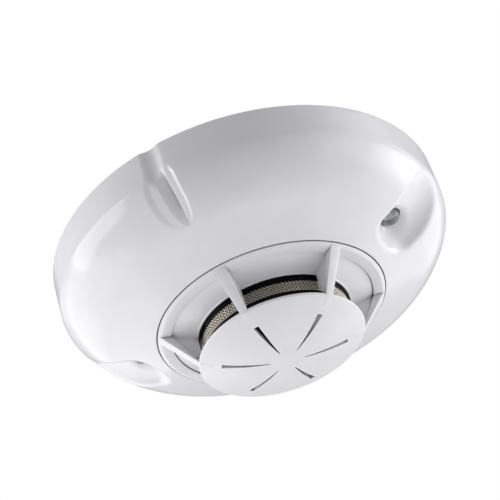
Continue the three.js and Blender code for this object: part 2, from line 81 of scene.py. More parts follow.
SCOOP_HALF_HEIGHT = 4.9             # of the bar that presses in a recess
SCOOP_HALF_WIDTH = 7.8
SCOOP_NOSE = (38.0, 21.8)           # centre of the bar's round nose
SCOOP_TILT = math.radians(25)
SCOOP_SQUARENESS = 2.1              # 2 is a round section; more has a flatter floor and steeper sides
SCOOP_FILLET = 1.6                  # rounding of its edge, on the skirt and at the nose
SCOOP_NOSE_FILLET = 0.9
LAMP_POCKET = (37.3, 18.9, 4.2)     # place out, drop and radius of the ball that deepens it at the lamp
POCKET_FILLET = 1.6
SKIN_RADIUS = 9.7                   # the round bar that shapes the wall's upper side over a recess
SKIN_NOSE = (39.6, 22.9)
SKIN_TILT = math.radians(22.4)
SCOOP_AZIMUTH = -1.5                # of the recess near +X; the other one is opposite

CHANNEL_RADIUS = 3.2                # the grip groove's shallow round channel, up the skirt
CHANNEL_VALLEY = 48.95
CHANNEL_OFFSET = -0.6
CHANNEL_FILLET = 0.7
GROOVE_TOP_DROP = 7.0               # the grip groove's lopsided V, down the shoulder
GROOVE_TIP = (41.2, 19.5)
GROOVE_OFFSET = 1.1
GROOVE_WIDE_SIDE = 6.6              # greatest distance from the V's valley to its edge, on each side
GROOVE_NARROW_SIDE = 2.7
GROOVE_FILLET = 0.5
GROOVE_BACKING = 1.4                # extra wall thickness behind the groove
DEEPEST_PRESS = 14.0                # no recess or channel goes deeper than this

COVER_SCREW_RADIUS = 36.0
COVER_SCREW_ANGLES = (45, 135, 225, 315)
LUG_ANGLES = (0, 120, 240)
RIB_ANGLES = (30, 90, 150, 210, 270, 330)

LED_RADIUS = 2.5
LED_OUT = 36.6
LED_TOP = drop_range("indicator_led_1")[0]
LED_TIP = drop_range("indicator_led_1")[1] - 0.3    # the lens stops just short of the CAD lamp's tip

COLLAR_RADIUS = 28.97
COLLAR_INNER_RADIUS = 25.72         # where the collar meets the dish
DISH_RIM = (25.6, 24.93)
DISH_LIP = (19.3, 26.57)
DISC_RADIUS = 21.04
DISC_EDGE_DROP = 33.5
DISC_DROP = drop_range("protective_cage")[1]
DISC_THICKNESS = 1.2

MESH_RADIUS = reach("insect_mesh")
MESH_TOP, MESH_BOTTOM = drop_range("insect_mesh")
WEAVE_PITCH = 0.65                  # from wire to wire
WIRE_RADIUS = 0.095


# ------------------------------------------------------------------ mesh helpers

def make_mesh(name, vertices, faces):
    """An object from vertices in millimetres, each [x, y, drop]."""
    mesh = bpy.data.meshes.new(name)
    placed = np.asarray(vertices, float) * (MM, MM, -MM)
    mesh.from_pydata(placed.tolist(), [], [tuple(face) for face in faces])
    mesh.validate()
    shape = bmesh.new()
    shape.from_mesh(mesh)
    bmesh.ops.remove_doubles(shape, verts=shape.verts, dist=1e-7)
    bmesh.ops.recalc_face_normals(shape, faces=shape.faces)
    shape.to_mesh(mesh)
    shape.free()
    obj = bpy.data.objects.new(name, mesh)
    bpy.context.scene.collection.objects.link(obj)
    return obj


def smooth(obj, angle=32):
    """Shades a mesh smooth, except over edges sharper than the angle."""
    obj.data.shade_smooth()
    obj.data.set_sharp_from_angle(angle=math.radians(angle))
    return obj


def apply_modifiers(obj):
    evaluated = obj.evaluated_get(bpy.context.evaluated_depsgraph_get())
    mesh = bpy.data.meshes.new_from_object(evaluated)
    obj.modifiers.clear()
    old = obj.data
    obj.data = mesh
    bpy.data.meshes.remove(old)
    return obj


def combine(obj, others, operation):
    """Joins the other solids to obj, or cuts them from it, and deletes them."""
    for other in others:
        modifier = obj.modifiers.new(operation, "BOOLEAN")
        modifier.operation = operation
        modifier.solver = "MANIFOLD"
        modifier.object = other
    apply_modifiers(obj)
    for other in others:
        mesh = other.data
        bpy.data.objects.remove(other)
        bpy.data.meshes.remove(mesh)
    return obj


def join(obj, others):
    return combine(obj, others, "UNION")


def cut(obj, others):
    return combine(obj, others, "DIFFERENCE")


def bevel(obj, width, angle=35, segments=2):
    """Rounds every edge sharper than the angle."""
    modifier = obj.modifiers.new("bevel", "BEVEL")
    modifier.width = width * MM
    modifier.segments = segments
    modifier.limit_method = "ANGLE"
    modifier.angle_limit = math.radians(angle)
    modifier.use_clamp_overlap = True
    modifier.miter_outer = "MITER_ARC"
    return apply_modifiers(obj)


def turned_to(obj, azimuth):
    """Turns an object's mesh about the detector's axis."""
    obj.data.transform(Matrix.Rotation(math.radians(azimuth), 4, "Z"))
    return obj


def rounded(corners, steps=6):
    """An outline from corners [radius, drop, rounding], each turned into an arc of that radius."""
    outline = []
    count = len(corners)
    for i, (x, y, radius) in enumerate(corners):
        here = np.array((x, y))
        back = np.array(corners[i - 1][:2]) - here
        ahead = np.array(corners[(i + 1) % count][:2]) - here
        if radius == 0:
            outline.append((x, y))
            continue
        back_length, ahead_length = np.linalg.norm(back), np.linalg.norm(ahead)
        back, ahead = back / back_length, ahead / ahead_length
        half = math.acos(np.clip(back @ ahead, -1, 1)) / 2
        tangent = min(radius / math.tan(half), 0.48 * back_length, 0.48 * ahead_length)
        radius = tangent * math.tan(half)
        centre = here + (back + ahead) / np.linalg.norm(back + ahead) * radius / math.sin(half)
        first = here + back * tangent - centre
        last = here + ahead * tangent - centre
        sweep = math.pi - 2 * half
        for step in range(steps + 1):
            share = step / steps
            weights = np.sin((1 - share) * sweep), np.sin(share * sweep)
            outline.append(tuple(centre + (first * weights[0] + last * weights[1]) / math.sin(sweep)))
    return outline


def turned(name, outline, segments=SEGMENTS):
    """A solid of revolution from a closed outline."""
    outline = np.asarray(outline, float)
    count = len(outline)
    angles = np.linspace(0, 2 * np.pi, segments, endpoint=False)
    x = np.outer(np.cos(angles), outline[:, 0])
    y = np.outer(np.sin(angles), outline[:, 0])
    drop = np.tile(outline[:, 1], (segments, 1))
    vertices = np.stack([x, y, drop], 2).reshape(-1, 3)
    return make_mesh(name, vertices, torus_faces(segments, count))


def torus_faces(rows, columns):
    """Quads over a grid that closes on itself both ways."""
    row, column = np.meshgrid(np.arange(rows), np.arange(columns), indexing="ij")
    next_row, next_column = (row + 1) % rows, (column + 1) % columns
    corners = [
        row * columns + column,
        next_row * columns + column,
        next_row * columns + next_column,
        row * columns + next_column,
    ]
    return np.stack(corners, 2).reshape(-1, 4)


def ring(name, inner, outer, top, bottom, rounding=0.0, segments=SEGMENTS):
    corners = [(inner, top), (outer, top), (outer, bottom), (inner, bottom)]
    return turned(name, rounded([(*corner, rounding) for corner in corners], 3), segments)


def prism(name, outline, low, high, upright=True):
    """An outline pushed along z between two drops, or across the +X radial plane between two widths."""
    count = len(outline)
    layers = [(a, b, level) for level in (low, high) for a, b in outline]
    if not upright:
        layers = [(a, level, b) for a, b, level in layers]
    sides = [(i, (i + 1) % count, count + (i + 1) % count, count + i) for i in range(count)]
    return make_mesh(name, layers, [range(count), range(2 * count - 1, count - 1, -1), *sides])


def rectangle(x, y, length, width):
    return [
        (x - length / 2, y - width / 2),
        (x + length / 2, y - width / 2),
        (x + length / 2, y + width / 2),
        (x - length / 2, y + width / 2),
    ]


def sector(name, inner, outer, azimuth, half_angle, top, bottom, steps=10):
    """A stretch of a flat ring."""
    angles = np.radians(np.linspace(azimuth - half_angle, azimuth + half_angle, steps + 1))
    outside = [(outer * math.cos(a), outer * math.sin(a)) for a in angles]
    inside = [(inner * math.cos(a), inner * math.sin(a)) for a in angles[::-1]]
    return prism(name, outside + inside, top, bottom)


def post(name, radius, x, y, top, bottom, segments=48):
    angles = np.linspace(0, 2 * np.pi, segments, endpoint=False)
    outline = [(x + radius * math.cos(a), y + radius * math.sin(a)) for a in angles]
    return prism(name, outline, top, bottom)


def bezier(start, first, second, end, steps):
    t = np.linspace(0, 1, steps + 1)[:, None]
    start, first, second, end = (np.array(point, float) for point in (start, first, second, end))
    return (1 - t) ** 3 * start + 3 * (1 - t) ** 2 * t * first + 3 * (1 - t) * t ** 2 * second + t ** 3 * end


# ------------------------------------------------------------------ materials

class Shader:
    """A material's node tree, with a Principled shader ready in it."""

    def __init__(self, name, colour, roughness, metallic=0.0, **sockets):
        self.material = bpy.data.materials.new(name)
        self.material.use_nodes = True
        self.nodes = self.material.node_tree.nodes
        self.surface = self.nodes["Principled BSDF"]
        self.set("Base Color", (*colour, 1))
        self.set("Roughness", roughness)
        self.set("Metallic", metallic)
        for socket, value in sockets.items():
            self.set(socket.replace("_", " "), value)
        self.place = self.add("ShaderNodeTexCoord").outputs["Object"]

    def set(self, socket, value):
        self.surface.inputs[socket].default_value = value

    def add(self, kind, **values):
        node = self.nodes.new(kind)
        for name, value in values.items():
            setattr(node, name, value)
        return node

    def link(self, source, target):
        self.material.node_tree.links.new(source, target)

    def noise(self, size, detail=2.0, roughness=0.5):
        """Noise whose features are about size millimetres across."""
        node = self.add("ShaderNodeTexNoise")
        node.inputs["Scale"].default_value = 1 / (size * MM)
        node.inputs["Detail"].default_value = detail
        node.inputs["Roughness"].default_value = roughness
        self.link(self.place, node.inputs["Vector"])
        return node.outputs["Fac"]

    def spread(self, source, low, high, start=0.0, end=1.0):
        """A value from low to high, as the source goes from start to end."""
        node = self.add("ShaderNodeMapRange")
        for socket, value in (("From Min", start), ("From Max", end), ("To Min", low), ("To Max", high)):
            node.inputs[socket].default_value = value
        self.link(source, node.inputs["Value"])
        return node.outputs["Result"]

    def blend(self, share, first, second):
        """A colour between two colours, each a tuple or another node's output."""
        node = self.add("ShaderNodeMix", data_type="RGBA")
        self.link(share, node.inputs["Factor"])
        for socket, colour in ((node.inputs[6], first), (node.inputs[7], second)):
            if isinstance(colour, tuple):
                socket.default_value = (*colour, 1)
            else:
                self.link(colour, socket)
        return node.outputs[2]

    def bump(self, height, distance, strength=1.0, under=None):
        """Lays a relief of that height, in millimetres, on the surface."""
        node = self.add("ShaderNodeBump")
        node.inputs["Distance"].default_value = distance * MM
        node.inputs["Strength"].default_value = strength
        self.link(height, node.inputs["Height"])
        if under is not None:
            self.link(under, node.inputs["Normal"])
        return node.outputs["Normal"]

    def corners(self, distance, inside=False):
        """How open the surface is: 1 out in the open, less in a corner. From inside, less at an edge."""
        node = self.add("ShaderNodeAmbientOcclusion", samples=6, inside=inside)
        node.inputs["Distance"].default_value = distance * MM
        return node.outputs["AO"]

    def feed(self, socket, source):
        self.link(source, self.surface.inputs[socket])


def moulded(name, colour, roughness, shade, grain=0.003, painted_slot_shade=None, painted_edge_highlight=None, **sockets):
    """Moulded plastic: fine mould grain, faint flow marks, and a warm painted shade in corners.

    It can also have a dark painted shade in narrow slots and a painted highlight along its edges.
    """
    shader = Shader(name, colour, roughness, **sockets)
    cloud = shader.spread(shader.noise(9, 3), 0, 1, 0.35, 0.65)
    paler = tuple(min(1.0, channel * 1.015) for channel in colour)
    deeper = tuple(channel * 0.985 for channel in colour)
    tone = shader.blend(cloud, deeper, paler)
    # Painted highlight: edges found by occlusion from inside are blended toward a pale colour.
    if painted_edge_highlight:
        from_edge = shader.spread(shader.corners(0.4, inside=True), 0, 1, 0.45, 0.85)
        tone = shader.blend(from_edge, painted_edge_highlight, tone)
    # Painted shade: corners and creases are blended toward the warm shade colour, by how enclosed they are.
    openness = shader.corners(1.5)
    cornered = shader.blend(shader.spread(openness, 0, 1, 0.3, 0.8), shade, tone)
    # Painted shade: narrow slots are darkened nearly to black, by how enclosed they are.
    if painted_slot_shade:
        cornered = shader.blend(shader.spread(openness, 0, 1, 0.32, 0.56), painted_slot_shade, cornered)
    shader.feed("Base Color", cornered)
    patches = shader.noise(6, 3)
    shader.feed("Roughness", shader.spread(patches, roughness - 0.02, roughness + 0.02, 0.3, 0.7))
    waves = shader.bump(shader.noise(18, 1), 0.012, 0.2)
    shader.feed("Normal", shader.bump(shader.noise(0.3, 2), grain, 0.2, waves))
    return shader.material


def metal(name, colour, roughness, scratch_size=0.25):
    """Drawn or stamped metal: fine scratches and cloudy roughness."""
    shader = Shader(name, colour, roughness, 1.0)
    streak = shader.noise(scratch_size, 6, 0.7)
    darker = tuple(channel * 0.72 for channel in colour)
    shader.feed("Base Color", shader.blend(shader.spread(streak, 0, 1, 0.35, 0.65), darker, colour))
    shader.feed("Roughness", shader.spread(streak, roughness - 0.08, roughness + 0.12, 0.3, 0.7))
    shader.feed("Normal", shader.bump(streak, 0.004, 0.5))
    return shader.material


def resin(name, colour, roughness, fleck=0.2, **sockets):
    """A dark filled resin or laminate with a fine speckle."""
    shader = Shader(name, colour, roughness, **sockets)
    speckle = shader.noise(fleck, 3, 0.6)
    lighter = tuple(channel * 1.5 + 0.001 for channel in colour)
    shader.feed("Base Color", shader.blend(shader.spread(speckle, 0, 1, 0.45, 0.7), colour, lighter))
    shader.feed("Roughness", shader.spread(speckle, roughness - 0.06, roughness + 0.08, 0.3, 0.7))
    shader.feed("Normal", shader.bump(speckle, 0.006, 0.4))
    return shader.material


def clear(name, colour):
    """Clear cast epoxy, very slightly smoky, with faint ripples from its mould."""
    shader = Shader(name, colour, 0.03, Transmission_Weight=0.86, IOR=1.5)
    haze = shader.noise(1.2, 2)
    smoky = tuple(channel * 0.9 for channel in colour)
    shader.feed("Base Color", shader.blend(shader.spread(haze, 0, 1, 0.4, 0.7), colour, smoky))
    shader.feed("Normal", shader.bump(haze, 0.01, 0.25))
    return shader.material


# The fourth colour of each moulded finish is its painted corner shade; the cage also has a painted shade in
# its slots and a painted highlight on its edges.
finishes = {
    "cover_plastic": moulded("cover_plastic", (0.83, 0.82, 0.86), 0.16, (0.60, 0.57, 0.56)),
    "cage_plastic": moulded("cage_plastic", (0.82, 0.815, 0.84), 0.35, (0.5, 0.46, 0.43),
                             painted_slot_shade=(0.02, 0.018, 0.016), painted_edge_highlight=(1, 1, 1)),
    "base_plastic": moulded("base_plastic", (0.72, 0.71, 0.72), 0.5, (0.5, 0.47, 0.45), 0.012),
    "frame_plastic": resin("frame_plastic", (0.0008, 0.001, 0.002), 0.1, 0.5, Specular_IOR_Level=0.08),
    "woven_steel": metal("woven_steel", (0.95, 0.87, 0.75), 0.34, 0.1),
    "chamber_plastic": resin("chamber_plastic", (0.012, 0.012, 0.013), 0.6),
    "board_laminate": resin("board_laminate", (0.02, 0.11, 0.05), 0.42, 0.5),
    "component_resin": resin("component_resin", (0.012, 0.012, 0.014), 0.5),
    "component_metal": metal("component_metal", (0.62, 0.62, 0.64), 0.35),
    "emitter_resin": resin("emitter_resin", (0.03, 0.025, 0.05), 0.15),
    "clear_lens": clear("clear_lens", (0.92, 0.94, 0.94)),
    "brass_strip": metal("brass_strip", (0.72, 0.55, 0.25), 0.35),
    "screw_steel": metal("screw_steel", (0.66, 0.65, 0.63), 0.3),
}


def dress(obj, body, slot, replaced=()):
    """Gives a new piece its finish, its body and the CAD nodes that it stands for."""
    obj.data.materials.clear()
    obj.data.materials.append(finishes[slot])
    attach(obj, body)
    if replaced:
        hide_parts(*replaced)
    return obj


# ------------------------------------------------------------------ camera

CAMERA_AZIMUTH = math.radians(16.8)
CAMERA_ELEVATION = math.radians(-35.1)
CAMERA_ROLL = math.radians(-18.8)
CAMERA_DISTANCE = 0.436
CAMERA_TARGET = Vector((0, 0, -0.0035))
CAMERA_LENS = 124.24                # focal length, on a sensor 36 mm wide


def add_camera():
    data = bpy.data.cameras.new("camera")
    data.lens = CAMERA_LENS
    data.sensor_width = 36
    camera = bpy.data.objects.new("camera", data)
    bpy.context.scene.collection.objects.link(camera)
    flat = math.cos(CAMERA_ELEVATION)
    back = Vector((
        math.sin(CAMERA_AZIMUTH) * flat,
        -math.cos(CAMERA_AZIMUTH) * flat,
        math.sin(CAMERA_ELEVATION),
    ))
    camera.location = CAMERA_TARGET + back * CAMERA_DISTANCE
    level = (-back).to_track_quat("-Z", "Y").to_matrix().to_4x4()
    turn = level @ Matrix.Rotation(CAMERA_ROLL, 4, "Z")
    camera.rotation_euler = turn.to_euler()
    bpy.context.scene.camera = camera


# ------------------------------------------------------------------ domed cover

def cover_outside():
    """Points down the cover's outside, with the direction in which each may be pressed in."""
    fillet = 0.3
    rim = [
        (RIM_RADIUS - fillet + fillet * math.sin(a), RIM_DROP + fillet - fillet * math.cos(a))
        for a in np.linspace(0, math.pi / 2, 5)
    ]
    skirt = [
        (RIM_RADIUS + (SKIRT_RADIUS - RIM_RADIUS) * s, drop)
        for s, drop in zip(np.linspace(0.1, 1, 13), np.linspace(RIM_DROP + 0.9, SHOULDER_DROP, 13))
    ]
    shoulder = bezier(skirt[-1], (SKIRT_RADIUS, 11.8), (45.4, 17.9), CONE, 66)[1:]
    steps = 46
    cone = [
        np.array(CONE) + (np.array((NECK_RADIUS + 0.45, NECK_DROP - 0.18)) - CONE) * step / steps
        for step in range(1, steps + 1)
    ]
    points = np.array([*rim, *skirt, *shoulder, *cone])
    tangent = np.gradient(points, axis=0)
    tangent[:len(rim) + len(skirt)] = (0, 1)
    inward = np.stack([-tangent[:, 1], tangent[:, 0]], 1)
    return points, inward / np.linalg.norm(inward, axis=1)[:, None]


def cover_inside():
    """From the neck's edge, up its bore and back along the inside to the rim."""
    neck = [(NECK_RADIUS + 0.45, NECK_DROP - 0.18, 0), (NECK_RADIUS, NECK_DROP, 0.3)]
    edge = rounded([
        neck[0], neck[1], (NECK_RADIUS, NECK_TOP_DROP, 0.3),
        (NECK_RADIUS + NECK_WALL, NECK_TOP_DROP, 0.3), (NECK_RADIUS + NECK_WALL, 22, 0),
    ], 5)[1:]
    wall = bezier((39.4, 18.15), (44.3, 16.2), (SKIRT_RADIUS - WALL, 11.2),
                  (SKIRT_RADIUS - WALL, SHOULDER_DROP), 12)
    rim = [(RIM_RADIUS - WALL, RIM_DROP + 0.3), (RIM_RADIUS - WALL + 0.3, RIM_DROP)]
    under = [(NECK_RADIUS + NECK_WALL + step, 22 - 0.4375 * step) for step in range(1, 9)]
    return np.array([*edge, *under, *wall, *rim])


def scoop_frame(x, y):
    """Distances outwards and sideways, in the radial plane of the recess on the same half."""
    azimuth = math.radians(SCOOP_AZIMUTH)
    side = np.where(x > 0, 1, -1)
    out = x * math.cos(azimuth) + y * math.sin(azimuth)
    aside = y * math.cos(azimuth) - x * math.sin(azimuth)
    return side * out, side * aside


def scoop_distance(x, y, drop):
    """Signed distance to the round-nosed bar and the ball that press in a recess."""
    out, aside = scoop_frame(x, y)
    ball_out, ball_drop, ball_radius = LAMP_POCKET
    ball = np.sqrt((out - ball_out) ** 2 + aside ** 2 + (drop - ball_drop) ** 2) - ball_radius
    out = out - SCOOP_NOSE[0]
    down = drop - SCOOP_NOSE[1]
    along = np.maximum(out * math.cos(SCOOP_TILT) - down * math.sin(SCOOP_TILT), 0)
    off_out = out - along * math.cos(SCOOP_TILT)
    off_drop = down + along * math.sin(SCOOP_TILT)
    upright = np.hypot(off_out, off_drop)
    wide = np.abs(aside) * SCOOP_HALF_HEIGHT / SCOOP_HALF_WIDTH
    power = SCOOP_SQUARENESS
    bar = (upright ** power + wide ** power) ** (1 / power) - SCOOP_HALF_HEIGHT
    return -smooth_maximum(-bar, -ball, POCKET_FILLET)


def soft_steps(knots, softness):
    """A line through [share, depth] knots, with its corners rounded off."""
    shares = np.linspace(0, 1.2, 241)
    depths = np.interp(shares, *zip(*knots))
    margin = int(softness * 200)
    padded = np.concatenate([2 * depths[0] - depths[margin:0:-1], depths, np.zeros(margin)])
    window = np.hanning(2 * margin + 1)
    return shares, np.convolve(padded, window / window.sum(), "valid")


# Each side of the V falls from its edge to a ledge, and from there to the valley.
WIDE_SIDE = soft_steps([(0, 1), (0.38, 0.22), (0.7, 0.2), (0.92, 0), (1.2, 0)], 0.04)
NARROW_SIDE = soft_steps([(0, 1), (0.2, 0.52), (0.74, 0.4), (1, 0), (1.2, 0)], 0.05)


def groove_side(x, y):
    """How far a point lies to the steep side of a grip groove's radial plane."""
    return np.where(y < 0, x, -x)


def channel_distance(x, y):
    """Signed distance to the round bar that presses in a channel, at both ends of Y."""
    aside = groove_side(x, y) - CHANNEL_OFFSET
    return np.hypot(aside, np.abs(y) - CHANNEL_VALLEY - CHANNEL_RADIUS) - CHANNEL_RADIUS


def groove_depth(points, x, y):
    """How deep the lopsided V of the grip groove is pressed in, at each point of the outside."""
    run, fall = SKIRT_RADIUS - GROOVE_TIP[0], GROOVE_TIP[1] - GROOVE_TOP_DROP
    length = math.hypot(run, fall)
    inside, below = points[:, 0] - GROOVE_TIP[0], points[:, 1] - GROOVE_TIP[1]
    valley_depth = np.maximum((inside * fall + below * run) / length, 0)
    along = 1 - (inside * run - below * fall) / length ** 2
    aside = groove_side(x, y) - GROOVE_OFFSET
    narrow = aside > 0
    start, end = np.where(narrow, 0.45, 0.55), np.where(narrow, 0.97, 1.06)
    taper = np.sqrt(np.clip(1 - np.clip((along - start) / (end - start), 0, 1) ** 2, 0.0001, 1))
    wide_opening = 0.75 + 0.25 * np.clip(along / 0.3, 0, 1)
    narrow_opening = np.sqrt(np.clip((along + 0.05) / 0.2, 0.001, 1))
    opening = np.where(narrow, narrow_opening, wide_opening)
    edge = np.where(narrow, GROOVE_NARROW_SIDE, GROOVE_WIDE_SIDE) * taper * opening
    share = np.abs(aside) / edge
    return valley_depth * np.where(narrow, np.interp(share, *NARROW_SIDE), np.interp(share, *WIDE_SIDE))


def smooth_step(share):
    """Eases a share from 0 to 1."""
    share = np.clip(share, 0, 1)
    return share * share * (3 - 2 * share)


def smooth_maximum(a, b, blend):
    """The greater of two values, with the crease between them rounded over the blend."""
    share = np.maximum(blend - np.abs(a - b), 0) / blend
    return np.maximum(a, b) + share ** 2 * blend / 4


def press_in(points, inward, cos, sin):
    """How far each point of the outside is pressed in, on a grid of azimuths by points."""
    def place(depth):
        radius = points[:, 0] + inward[:, 0] * depth
        return radius * cos, radius * sin, points[:, 1] + inward[:, 1] * depth

    x, y = points[:, 0] * cos, points[:, 0] * sin
    nose_start, nose_length, halvings = 33.5, 5, 26
    nose = smooth_step((scoop_frame(x, y)[0] - nose_start) / nose_length)
    scoop_edge = SCOOP_FILLET - (SCOOP_FILLET - SCOOP_NOSE_FILLET) * nose
    low = np.zeros_like(scoop_edge)
    high = np.full_like(scoop_edge, DEEPEST_PRESS)
    for _ in range(halvings):
        middle = (low + high) / 2
        x, y, drop = place(middle)
        scoop = smooth_maximum(-middle, -scoop_distance(x, y, drop), scoop_edge)
        channel = smooth_maximum(-middle, -channel_distance(x, y), CHANNEL_FILLET)
        still_cut = np.maximum(scoop, channel) > 0
        low = np.where(still_cut, middle, low)
        high = np.where(still_cut, high, middle)
    groove = groove_depth(points, points[:, 0] * cos, points[:, 0] * sin)
    blend = GROOVE_FILLET * np.clip(np.minimum(low, groove) / GROOVE_FILLET, 0.001, 1)
    return place(smooth_maximum(low, groove, blend))


def scoop_skin_drop(x, y):
    """The drop of the skin's upper side over a recess, or a large drop away from it."""
    out, aside = scoop_frame(x, y)
    half = np.sqrt(np.maximum(SKIN_RADIUS ** 2 - aside ** 2, 0))
    out = out - SKIN_NOSE[0]
    start = -half * math.sin(SKIN_TILT)
    nose = SKIN_NOSE[1] - np.sqrt(np.maximum(half ** 2 - out ** 2, 0))
    along = (out - start) / math.cos(SKIN_TILT)
    trough = SKIN_NOSE[1] - along * math.sin(SKIN_TILT) - half * math.cos(SKIN_TILT)
    top = np.where(out < start, nose, trough)
    return np.where((half == 0) | (out < -half), 99, top)


def groove_backing(x, y, drop):
    """How much thicker the wall is behind a grip groove."""
    aside = np.clip(1 - np.abs(groove_side(x, y) - 0.5) / 8, 0, 1)
    start = np.clip((drop - 6) / 4, 0, 1)
    end = np.clip((21 - drop) / 4, 0, 1)
    return GROOVE_BACKING * smooth_step(aside * start * end)


def crowded_azimuths():
    """Azimuths all round, close together over the recesses and the grooves."""
    scoop, groove = 15, 82.5
    quarter = np.concatenate([
        np.linspace(0, scoop, 64)[:-1],
        np.linspace(scoop, groove, 31)[:-1],
        np.linspace(groove, 90, 40)[:-1],
    ])
    half = np.concatenate([quarter, [90], 180 - quarter[:0:-1]])
    return np.radians(np.concatenate([half, half + 180]))


def dome_cover():
    """The cover's shell, pressed in at two recesses and two grooves, with its bosses and lips."""
    outside, inward = cover_outside()
    inside = cover_inside()
    angles = crowded_azimuths()
    cos, sin = np.cos(angles)[:, None], np.sin(angles)[:, None]
    x, y, drop = press_in(outside, inward, cos, sin)
    inner_x, inner_y, inner_drop = (inside[:, 0] * cos, inside[:, 0] * sin, inside[:, 1] + 0 * cos)
    backing = np.where(np.abs(inner_y) > 30, groove_backing(inner_x, inner_y, inner_drop), 0)
    inner_y = inner_y - np.sign(inner_y) * backing
    inner_drop = np.minimum(inner_drop, scoop_skin_drop(inner_x, inner_y))
    vertices = np.concatenate([
        np.stack([x, y, drop], 2),
        np.stack([inner_x, inner_y, inner_drop], 2),
    ], 1)
    shell = make_mesh("domed_cover", vertices.reshape(-1, 3), torus_faces(*vertices.shape[:2]))
    additions = []
    for azimuth in COVER_SCREW_ANGLES:
        boss = post("boss", 2.8, COVER_SCREW_RADIUS, 0, 8.5, 20.4)
        additions.append(turned_to(boss, azimuth))
    for azimuth in LUG_ANGLES:
        additions.append(sector("lip", NECK_RADIUS - 1.3, NECK_RADIUS + 0.5, azimuth, 8,
                                NECK_TOP_DROP, NECK_TOP_DROP + 1.2))
    join(shell, additions)
    cutters = []
    for azimuth in (SCOOP_AZIMUTH, SCOOP_AZIMUTH + 180):
        cutters.append(turned_to(post("led_hole", LED_RADIUS + 0.3, LED_OUT, 0, 10, 21, 64), azimuth))
    for azimuth in COVER_SCREW_ANGLES:
        cutters.append(turned_to(post("pilot", 1.6, COVER_SCREW_RADIUS, 0, 7, 17), azimuth))
    cut(shell, cutters)
    return dress(smooth(shell, 38), "head", "cover_plastic", ["dome_cover"])


# ------------------------------------------------------------------ protective cage

def disc_drop_at(radius):
    """The drop of the disc's face."""
    depth = DISC_DROP - DISC_EDGE_DROP
    sphere = (DISC_RADIUS ** 2 + depth ** 2) / (2 * depth)
    return DISC_DROP - sphere + math.sqrt(sphere ** 2 - radius ** 2)


def slotted_disc():
    """The convex disc with its six tapered slots, each wider on the back so that its edge is thin."""
    face = [(r, disc_drop_at(r) + 0.45 * (r / 20) ** 2) for r in np.linspace(0, 19.2, 40)]
    back = [(r, disc_drop_at(r) - DISC_THICKNESS + 0.1) for r in np.linspace(18, 0, 14)]
    edge = rounded([
        (*face[-1], 0), (DISC_RADIUS, 33.95, 0.8), (DISC_RADIUS - 0.15, 33.3, 0.2), (*back[0], 0),
    ], 8)[1:-1]
    disc = turned("disc", [*face, *edge, *back])
    slot = [(4.3, -0.1), (15.9, -0.725), (15.9, 0.725), (4.3, 0.1)]
    relief = [(6, -0.7), (16.2, -1.5), (16.2, 1.5), (6, 0.7)]
    thin = disc_drop_at(16.2) - 0.55
    cutters = [turned_to(prism("slot", slot, 31, 40), azimuth) for azimuth in RIB_ANGLES]
    cutters += [turned_to(prism("slot_relief", relief, 31, thin), azimuth) for azimuth in RIB_ANGLES]
    return cut(disc, cutters)


def cage_rib():
    """A straight rib from the lip to the disc. It narrows on the way and fades out on the disc."""
    side = rounded([
        (28.45, 24.55, 0.15), (25.9, 24.8, 0), (21.3, 32.8, 0.3), (18.8, 34.2, 0), (17.9, 34.75, 0),
        (18.1, 35.12, 0.1), (20.75, 34.15, 0.8), (21.45, 33.35, 0.5), (28.7, 24.8, 0.2),
    ], 4)
    rib = prism("rib", side, -1, 1, upright=False)
    bevel(rib, 0.22, 60, 3)
    for vertex in rib.data.vertices:
        along = min(max((vertex.co.x / MM - DISC_RADIUS) / 7.5, 0), 1)
        vertex.co.y *= 1 + 0.45 * along
    return rib


def protective_cage():
    """Collar, ribs and disc in one moulding, with the hooks that hold it in the neck."""
    collar = turned("cage", rounded([
        (26.2, 15.3, 0.2), (27.6, 15.3, 0.2), (27.6, 22.5, 0), (COLLAR_RADIUS, 22.5, 0),
        (COLLAR_RADIUS, 24.6, 0.1), (28.15, 25.08, 0.15), (COLLAR_INNER_RADIUS, 25.28, 0.12),
        (COLLAR_INNER_RADIUS, 23.8, 0), (26.2, 23.4, 0),
    ], 7))
    ribs = [turned_to(cage_rib(), azimuth) for azimuth in RIB_ANGLES]
    hooks = [sector("hook", 27, NECK_RADIUS - 0.3, azimuth, 6, 15.3, 16.7) for azimuth in LUG_ANGLES]
    join(collar, [slotted_disc(), *ribs, *hooks])
    collar.name = "slotted_cage"
    return dress(smooth(collar, 34), "cage", "cage_plastic", ["protective_cage"])


# ------------------------------------------------------------------ inner dish

def dish_floor_at(radius):
    """The drop of the dish's sloping floor."""
    slope = (DISH_RIM[1] - DISH_LIP[1]) / (DISH_RIM[0] - DISH_LIP[0])
    return DISH_LIP[1] + slope * (radius - DISH_LIP[0])


